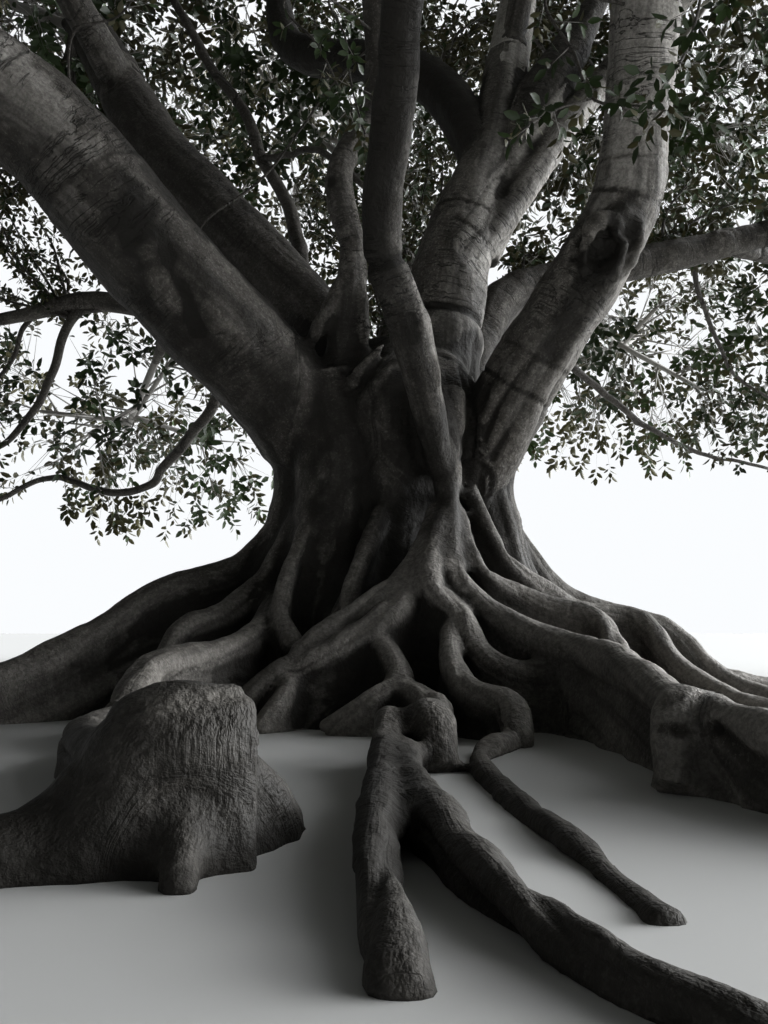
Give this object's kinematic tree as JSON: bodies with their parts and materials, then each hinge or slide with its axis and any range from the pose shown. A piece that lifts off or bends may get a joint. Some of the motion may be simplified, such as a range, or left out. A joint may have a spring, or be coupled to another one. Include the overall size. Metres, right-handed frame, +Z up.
{
  "type": "banyan tree",
  "caption": "Spreading banyan fig: a fluted trunk on tall winding buttress roots, heavy ascending boughs and a broad low dome of foliage, rooted in level ground.",
  "frame": {"origin": "middle of the flat cut under the trunk, at ground level", "axes": "+Z up along the trunk; -Y is the side that the picture shows, with +X to its right"},
  "size_m": [28.9472, 28.2894, 17.846],
  "materials": {
    "trunk_bark": "smooth grey-brown bark, fluted, with faint cross creases, pocks and pale lichen",
    "root_bark": "grey bark, worn pale and rough along the crests, fibrous on cut faces",
    "bough_bark": "smooth pale grey bark with cross creases and knots",
    "leaves": "dark green glossy leaves with rust-brown undersides"
  },
  "bodies": {
    "root": {"bough_crown_front_left": "bough_bark", "bough_crown_front_right": "bough_bark", "bough_crown_rear_left": "bough_bark", "bough_crown_rear_right": "bough_bark", "bough_front": "bough_bark", "bough_front_high": "bough_bark", "bough_front_left": "bough_bark", "bough_front_right": "bough_bark", "bough_front_right_high": "bough_bark", "bough_left": "bough_bark", "bough_left_front": "bough_bark", "bough_left_front_high": "bough_bark", "bough_left_rear": "bough_bark", "bough_left_rear_high": "bough_bark", "bough_rear": "bough_bark", "bough_rear_high": "bough_bark", "bough_rear_left": "bough_bark", "bough_rear_right": "bough_bark", "bough_right": "bough_bark", "bough_right_front": "bough_bark", "bough_right_high": "bough_bark", "bough_right_rear": "bough_bark", "bough_right_rear_high": "bough_bark", "foliage_crown_front_left": "leaves", "foliage_crown_front_right": "leaves", "foliage_crown_rear_left": "leaves", "foliage_crown_rear_right": "leaves", "foliage_front": "leaves", "foliage_front_high": "leaves", "foliage_front_left": "leaves", "foliage_front_right": "leaves", "foliage_front_right_high": "leaves", "foliage_left": "leaves", "foliage_left_front": "leaves", "foliage_left_front_high": "leaves", "foliage_left_rear": "leaves", "foliage_left_rear_high": "leaves", "foliage_rear": "leaves", "foliage_rear_high": "leaves", "foliage_rear_left": "leaves", "foliage_rear_right": "leaves", "foliage_right": "leaves", "foliage_right_front": "leaves", "foliage_right_high": "leaves", "foliage_right_rear": "leaves", "foliage_right_rear_high": "leaves", "root_far_right": "root_bark", "root_front_centre": "root_bark", "root_front_left": "root_bark", "root_front_slim": "root_bark", "root_left": "root_bark", "root_rear_1": "root_bark", "root_rear_2": "root_bark", "root_rear_3": "root_bark", "root_rear_4": "root_bark", "root_rear_5": "root_bark", "root_right": "root_bark", "root_right_front": "root_bark", "trunk": "trunk_bark"}
  },
  "joints": []
}
